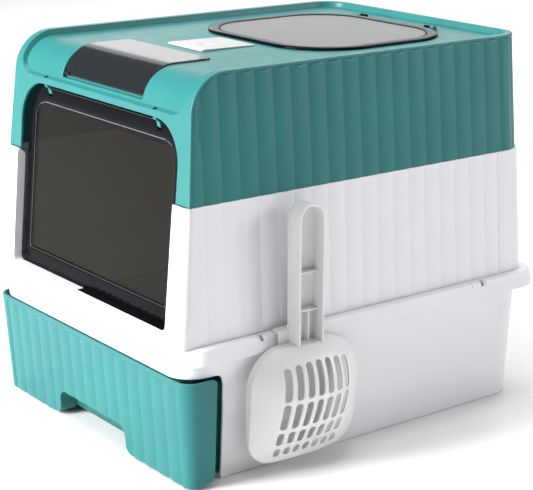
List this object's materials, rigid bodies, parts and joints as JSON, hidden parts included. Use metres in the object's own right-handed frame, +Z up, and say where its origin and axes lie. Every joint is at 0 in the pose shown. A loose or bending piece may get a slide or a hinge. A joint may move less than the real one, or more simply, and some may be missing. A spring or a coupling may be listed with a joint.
{
  "type": "drawer litter box",
  "caption": "Enclosed cat litter box with a pull-out litter drawer, a swinging smoked door, a top exit hatch, a flip-up front window and a scoop hung on its side.",
  "frame": {"origin": "centre of the tray's footprint on the floor", "axes": "+Z up, front with the door and drawer at -Y, scoop side at +X"},
  "size_m": [0.4417, 0.51, 0.4315],
  "materials": {
    "teal_plastic": "satin moulded polypropylene",
    "white_plastic": "satin moulded polypropylene",
    "smoke_plastic": "smoke-tinted clear plastic, polished",
    "pin_plastic": "dark moulded nylon",
    "latch_plastic": "glossy white ABS",
    "scoop_plastic": "satin moulded polypropylene"
  },
  "bodies": {
    "base": {"base_tray": "white_plastic", "rim_clips": "white_plastic", "front_panel": "white_plastic", "left_panel": "white_plastic", "right_panel": "white_plastic", "rear_panel": "white_plastic", "sill_strip": "pin_plastic"},
    "drawer": {"drawer_pan": "teal_plastic", "drawer_front": "teal_plastic", "drawer_glides": "pin_plastic"},
    "lid": {"lid_shell": "teal_plastic", "door_hinge_hooks": "teal_plastic", "hatch_hinge_lugs": "teal_plastic"},
    "door": {"door_flap": "smoke_plastic", "door_hinge_rod": "pin_plastic"},
    "hatch": {"hatch_rim": "smoke_plastic", "hatch_pane": "smoke_plastic", "hatch_hinge_pins": "pin_plastic"},
    "window": {"front_window": "smoke_plastic", "window_hinge_pins": "pin_plastic"},
    "latch": {"latch_slider": "latch_plastic", "latch_retainer": "latch_plastic"},
    "scoop": {"litter_scoop": "scoop_plastic"}
  },
  "joints": [
    {"name": "drawer_slide", "type": "slide", "parent": "base", "child": "drawer", "axis": [0, -1, 0], "range_m": [0, 0.4]},
    {"name": "lid_lift", "type": "slide", "parent": "base", "child": "lid", "axis": [0, 0, 1], "range_m": [0, 0.16]},
    {"name": "door_swing", "type": "hinge", "parent": "lid", "child": "door", "pos_m": [0, -0.22, 0.3715], "axis": [1, 0, 0], "range_deg": [-25, 75]},
    {"name": "hatch_swing", "type": "hinge", "parent": "lid", "child": "hatch", "pos_m": [0, 0.1906, 0.4272], "axis": [-1, 0, 0], "range_deg": [0, 100]},
    {"name": "window_swing", "type": "hinge", "parent": "lid", "child": "window", "pos_m": [0, -0.2206, 0.3964], "axis": [1, 0, 0], "range_deg": [0, 80]},
    {"name": "latch_slide", "type": "slide", "parent": "lid", "child": "latch", "axis": [0, 1, 0], "range_m": [0, 0.008]},
    {"name": "scoop_lift", "type": "slide", "parent": "base", "child": "scoop", "axis": [0, 0, 1], "range_m": [0, 0.03]}
  ]
}
